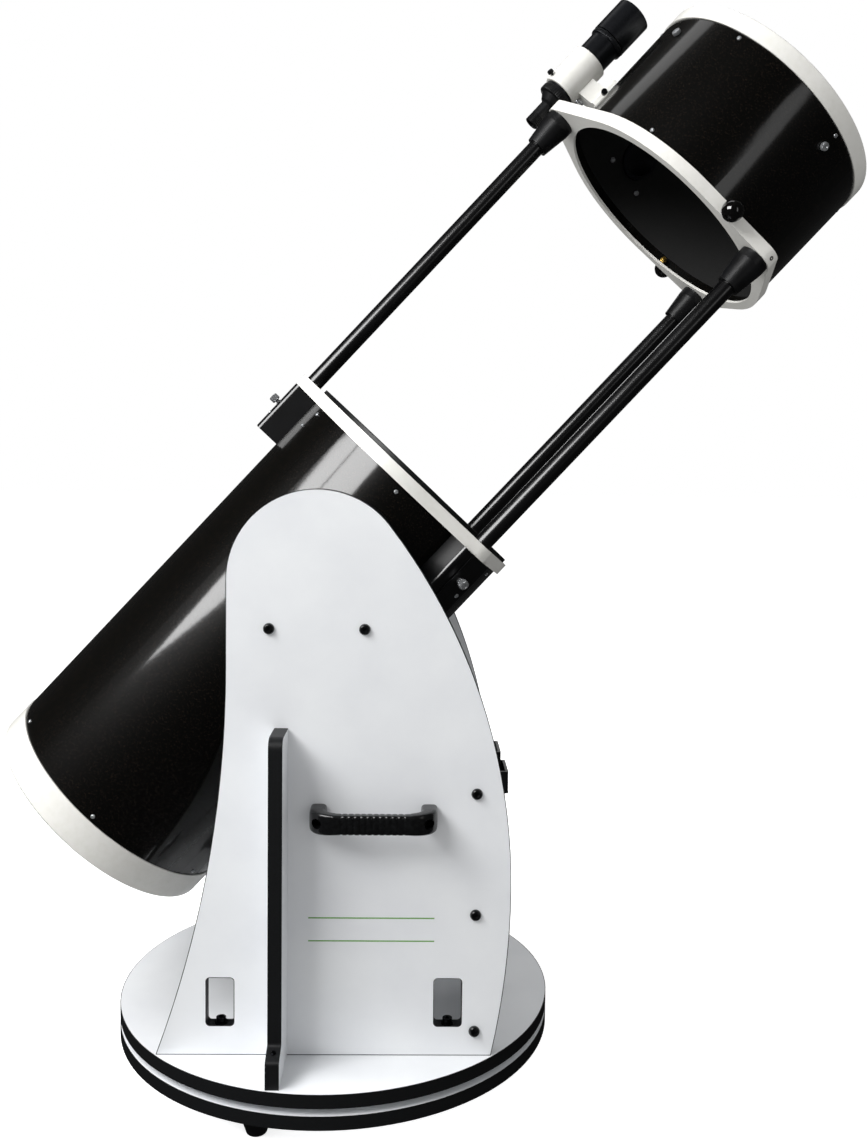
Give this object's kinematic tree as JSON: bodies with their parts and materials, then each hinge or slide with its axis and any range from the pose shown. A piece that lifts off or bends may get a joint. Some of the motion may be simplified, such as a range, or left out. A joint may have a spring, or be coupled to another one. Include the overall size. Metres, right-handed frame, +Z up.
{
  "type": "dobsonian telescope",
  "caption": "Collapsible-tube Newtonian telescope on a rocker base: mirror tube, sliding struts, upper cage with focuser and finder, turning on altitude and azimuth bearings.",
  "frame": {"origin": "on the floor under the azimuth pivot, at the centre of the foot screw circle", "axes": "+Z up; at rest the tube points up towards +X; +Y is the side away from the carrying handle shown first; the altitude axis is along Y"},
  "size_m": [1.2492, 0.64, 1.5745],
  "materials": {
    "white_laminate": "white melamine faced chipboard",
    "edge_band": "black plastic edge banding",
    "black_plastic": "moulded black plastic, fine texture",
    "gloss_plastic": "polished black phenolic",
    "white_enamel": "off-white gloss enamel on cast aluminium",
    "black_tube": "gloss black enamel with fine metal flake",
    "black_strut": "gloss black paint on steel tube",
    "black_anodised": "black anodised aluminium",
    "zinc_screw": "bright zinc plated steel",
    "black_screw": "black oxide steel",
    "chrome": "polished chrome plate",
    "cast_cell": "cast aluminium, satin black paint",
    "mirror_glass": "aluminised optical glass",
    "lens_glass": "coated optical glass",
    "nylon": "natural nylon",
    "spring_steel": "spring steel wire",
    "bearing_steel": "hardened bearing steel"
  },
  "bodies": {
    "ground": {"ground_board": "white_laminate", "ground_board_edging": "edge_band", "ground_feet": "black_plastic", "bearing_lower_race": "bearing_steel", "azimuth_pivot_bolt": "zinc_screw"},
    "rollers": {"bearing_rollers": "bearing_steel", "roller_cage": "nylon"},
    "rocker": {"azimuth_board": "white_laminate", "azimuth_board_edging": "edge_band", "bearing_upper_race": "bearing_steel", "pivot_bush": "nylon", "near_side_panel": "white_laminate", "far_side_panel": "white_laminate", "side_gussets": "white_laminate", "carry_handles": "black_plastic", "front_board": "white_laminate", "panel_edging": "edge_band", "panel_screws": "black_plastic", "hold_down_bolts": "black_screw", "altitude_cradles": "black_plastic", "encoder_housing": "black_plastic", "handset_holder": "black_plastic"},
    "lower_tube_assembly": {"lower_tube": "black_tube", "rear_ring": "white_enamel", "mirror_cell": "cast_cell", "primary_mirror": "mirror_glass", "mirror_clips": "cast_cell", "collimation_springs": "spring_steel", "mid_ring": "white_enamel", "trunnions": "cast_cell", "tube_screws": "zinc_screw", "strut_housings": "black_strut"},
    "cage": {"top_strut": "black_strut", "near_strut": "black_strut", "far_strut": "black_strut", "strut_sockets": "black_plastic", "cage_lower_ring": "white_enamel", "cage_tube": "black_tube", "cage_front_ring": "white_enamel", "grab_knobs": "gloss_plastic", "spider": "cast_cell", "cage_screws": "zinc_screw", "secondary_holder": "cast_cell", "secondary_mirror": "mirror_glass", "focuser_base": "black_anodised", "finder_shoe": "white_enamel", "finder_bracket": "white_enamel", "finder_tube": "black_anodised", "finder_dew_shield": "black_anodised", "finder_lens": "lens_glass", "finder_eyepiece": "black_plastic", "finder_screws": "black_plastic"},
    "drawtube": {"focuser_drawtube": "black_anodised"},
    "focus_axle": {"focus_knobs": "black_plastic"},
    "top_lock": {"top_strut_lock": "chrome"},
    "near_lock": {"near_strut_lock": "chrome"},
    "far_lock": {"far_strut_lock": "chrome"},
    "collimator_1": {"collimation_knob_1": "black_plastic"},
    "collimator_2": {"collimation_knob_2": "black_plastic"},
    "collimator_3": {"collimation_knob_3": "black_plastic"}
  },
  "joints": [
    {"name": "azimuth_turn", "type": "hinge", "parent": "ground", "child": "rocker", "pos_m": [0, 0, 0.078], "axis": [0, 0, 1], "continuous": true},
    {"name": "roller_drift", "type": "hinge", "parent": "ground", "child": "rollers", "pos_m": [0, 0, 0.055], "axis": [0, 0, 1], "continuous": true},
    {"name": "altitude_tilt", "type": "hinge", "parent": "rocker", "child": "lower_tube_assembly", "pos_m": [-0.012, 0, 0.713], "axis": [0, -1, 0], "range_deg": [-47, 42.9]},
    {"name": "tube_extend", "type": "slide", "parent": "lower_tube_assembly", "child": "cage", "axis": [0.6812, 0, 0.7321], "range_m": [-0.46, 0]},
    {"name": "focus_travel", "type": "slide", "parent": "cage", "child": "drawtube", "axis": [-0.366, 0.866, 0.3406], "range_m": [-0.012, 0.03]},
    {"name": "focus_turn", "type": "hinge", "parent": "cage", "child": "focus_axle", "pos_m": [0.42788, 0.19226, 1.34865], "axis": [-0.634, -0.5, 0.59], "range_deg": [-116, 288]},
    {"name": "top_lock_turn", "type": "hinge", "parent": "lower_tube_assembly", "child": "top_lock", "pos_m": [-0.0917, 0, 0.95764], "axis": [-0.7321, 0, 0.6812], "range_deg": [0, 540]},
    {"name": "near_lock_turn", "type": "hinge", "parent": "lower_tube_assembly", "child": "near_lock", "pos_m": [0.17668, -0.17486, 0.7079], "axis": [0.4607, -0.7771, -0.4287], "range_deg": [0, 540]},
    {"name": "far_lock_turn", "type": "hinge", "parent": "lower_tube_assembly", "child": "far_lock", "pos_m": [0.17668, 0.17486, 0.7079], "axis": [0.4607, 0.7771, -0.4287], "range_deg": [0, 540]},
    {"name": "collimation_turn_1", "type": "hinge", "parent": "lower_tube_assembly", "child": "collimator_1", "pos_m": [-0.42779, 0, 0.43058], "axis": [0.6812, 0, 0.7321], "range_deg": [-360, 360]},
    {"name": "collimation_turn_2", "type": "hinge", "parent": "lower_tube_assembly", "child": "collimator_2", "pos_m": [-0.30481, -0.09699, 0.31614], "axis": [0.6812, 0, 0.7321], "range_deg": [-360, 360]},
    {"name": "collimation_turn_3", "type": "hinge", "parent": "lower_tube_assembly", "child": "collimator_3", "pos_m": [-0.30481, 0.09699, 0.31614], "axis": [0.6812, 0, 0.7321], "range_deg": [-360, 360]}
  ],
  "couplings": [
    {"joint": "roller_drift", "follows": "azimuth_turn", "ratio": 0.5},
    {"joint": "focus_turn", "follows": "focus_travel", "rad_per_m": 166.67}
  ]
}
